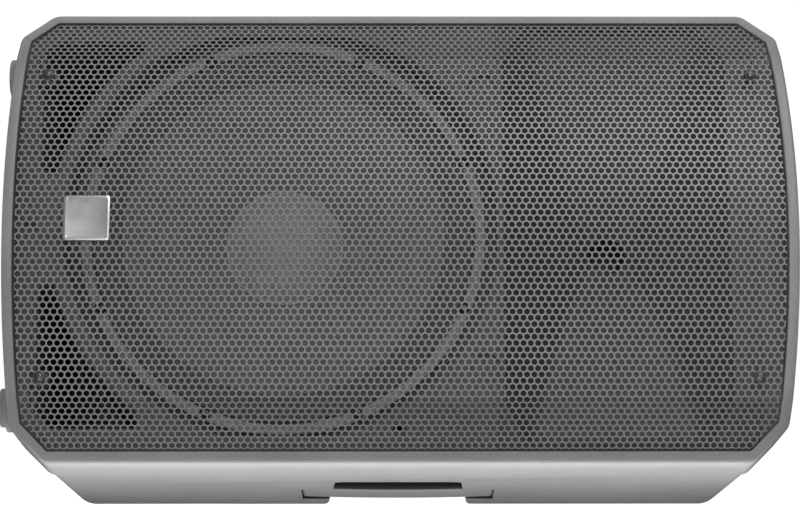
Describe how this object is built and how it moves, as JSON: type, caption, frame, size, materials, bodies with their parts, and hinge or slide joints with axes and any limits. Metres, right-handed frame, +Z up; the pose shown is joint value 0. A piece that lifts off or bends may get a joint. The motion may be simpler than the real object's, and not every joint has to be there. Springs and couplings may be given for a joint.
{
  "type": "pa speaker cabinet",
  "caption": "Upright moulded loudspeaker with a bowed grille, woofer, horn, corner ports, side hand grips, pole socket and rear amplifier panel.",
  "frame": {"origin": "on the floor under the middle of the cabinet's box", "axes": "+X to the right seen from the front, -Y out of the grille, +Z up"},
  "size_m": [0.437, 0.39, 0.7452],
  "materials": {
    "moulded_front": "fine spark texture, satin",
    "moulded_shell": "coarse leather-grain texture, satin",
    "grille_steel": "grey powder coat on perforated steel",
    "badge_metal": "brushed face with polished edge",
    "cast_black": "fine crinkle powder coat",
    "felt": "polyester wadding",
    "gasket_foam": "closed-cell foam",
    "surround_cloth": "treated cloth, folded",
    "cone_paper": "pressed paper pulp",
    "copper": "wound copper wire",
    "bright_steel": "zinc plated",
    "ferrite": "pressed ferrite",
    "horn_plastic": "smooth satin",
    "diaphragm_metal": "thin bright foil",
    "panel_metal": "black powder coat",
    "fin_aluminium": "black anodised",
    "board_green": "solder mask",
    "black_plastic": "satin",
    "lamp_lens": "clear tinted",
    "grip_plastic": "fine texture",
    "foot_rubber": "matt",
    "lead_rubber": "satin"
  },
  "bodies": {
    "cabinet": {"amp_board": "board_green", "amp_panel": "panel_metal", "badge_plate": "badge_metal", "damping_pad": "felt", "driver_body": "ferrite", "driver_cover": "cast_black", "driver_lead": "lead_rubber", "foot_front_left": "foot_rubber", "foot_front_right": "foot_rubber", "foot_rear_left": "foot_rubber", "foot_rear_right": "foot_rubber", "front_moulding": "moulded_front", "grille": "grille_steel", "grille_screw_1": "bright_steel", "grille_screw_2": "bright_steel", "grille_screw_3": "bright_steel", "grille_screw_4": "bright_steel", "hand_grip_left": "grip_plastic", "hand_grip_right": "grip_plastic", "heat_sink": "fin_aluminium", "horn": "horn_plastic", "input_board": "board_green", "input_jack_1": "black_plastic", "input_jack_2": "black_plastic", "magnet": "ferrite", "mains_inlet": "black_plastic", "output_jack": "black_plastic", "pole_and_yoke": "bright_steel", "pole_socket": "cast_black", "port_duct_left": "moulded_front", "port_duct_right": "moulded_front", "power_supply": "board_green", "rear_shell": "moulded_shell", "spider": "surround_cloth", "status_lamp": "lamp_lens", "switch_housing": "black_plastic", "top_plate": "bright_steel", "woofer_frame": "cast_black", "woofer_gasket": "gasket_foam", "woofer_lead": "lead_rubber", "woofer_screw_1": "bright_steel", "woofer_screw_2": "bright_steel", "woofer_screw_3": "bright_steel", "woofer_screw_4": "bright_steel", "woofer_screw_5": "bright_steel", "woofer_screw_6": "bright_steel", "woofer_screw_7": "bright_steel", "woofer_screw_8": "bright_steel", "woofer_surround": "surround_cloth"},
    "cone_assembly": {"woofer_cone": "cone_paper", "dust_cap": "cone_paper", "voice_coil": "copper"},
    "hf_diaphragm": {"driver_diaphragm": "diaphragm_metal"},
    "level_1": {"level_knob_1": "black_plastic"},
    "level_2": {"level_knob_2": "black_plastic"},
    "level_3": {"level_knob_3": "black_plastic"},
    "mode": {"mode_button": "black_plastic"},
    "rocker": {"switch_rocker": "black_plastic"},
    "tab_1": {"jack_tab_1": "bright_steel"},
    "tab_2": {"jack_tab_2": "bright_steel"}
  },
  "joints": [
    {"name": "woofer_travel", "type": "slide", "parent": "cabinet", "child": "cone_assembly", "axis": [0, 1, 0], "range_m": [-0.006, 0.006], "stiffness_N_per_m": 5000, "deforming": ["woofer_surround", "spider"]},
    {"name": "hf_travel", "type": "slide", "parent": "cabinet", "child": "hf_diaphragm", "axis": [0, 1, 0], "range_m": [-0.0003, 0.0003], "stiffness_N_per_m": 3000},
    {"name": "level_1_turn", "type": "hinge", "parent": "cabinet", "child": "level_1", "pos_m": [-0.075, 0.183, 0.5398], "axis": [0, 1, 0], "range_deg": [-150, 150]},
    {"name": "level_2_turn", "type": "hinge", "parent": "cabinet", "child": "level_2", "pos_m": [-0.025, 0.183, 0.5398], "axis": [0, 1, 0], "range_deg": [-150, 150]},
    {"name": "level_3_turn", "type": "hinge", "parent": "cabinet", "child": "level_3", "pos_m": [0.025, 0.183, 0.5398], "axis": [0, 1, 0], "range_deg": [-150, 150]},
    {"name": "mode_press", "type": "slide", "parent": "cabinet", "child": "mode", "axis": [0, -1, 0], "range_m": [0, 0.0015], "stiffness_N_per_m": 600},
    {"name": "rocker_tilt", "type": "hinge", "parent": "cabinet", "child": "rocker", "pos_m": [0.02, 0.175, 0.4168], "axis": [1, 0, 0], "range_deg": [-18, 0]},
    {"name": "tab_1_press", "type": "slide", "parent": "cabinet", "child": "tab_1", "axis": [0, -1, 0], "range_m": [0, 0.0015], "stiffness_N_per_m": 500},
    {"name": "tab_2_press", "type": "slide", "parent": "cabinet", "child": "tab_2", "axis": [0, -1, 0], "range_m": [0, 0.0015], "stiffness_N_per_m": 500}
  ]
}
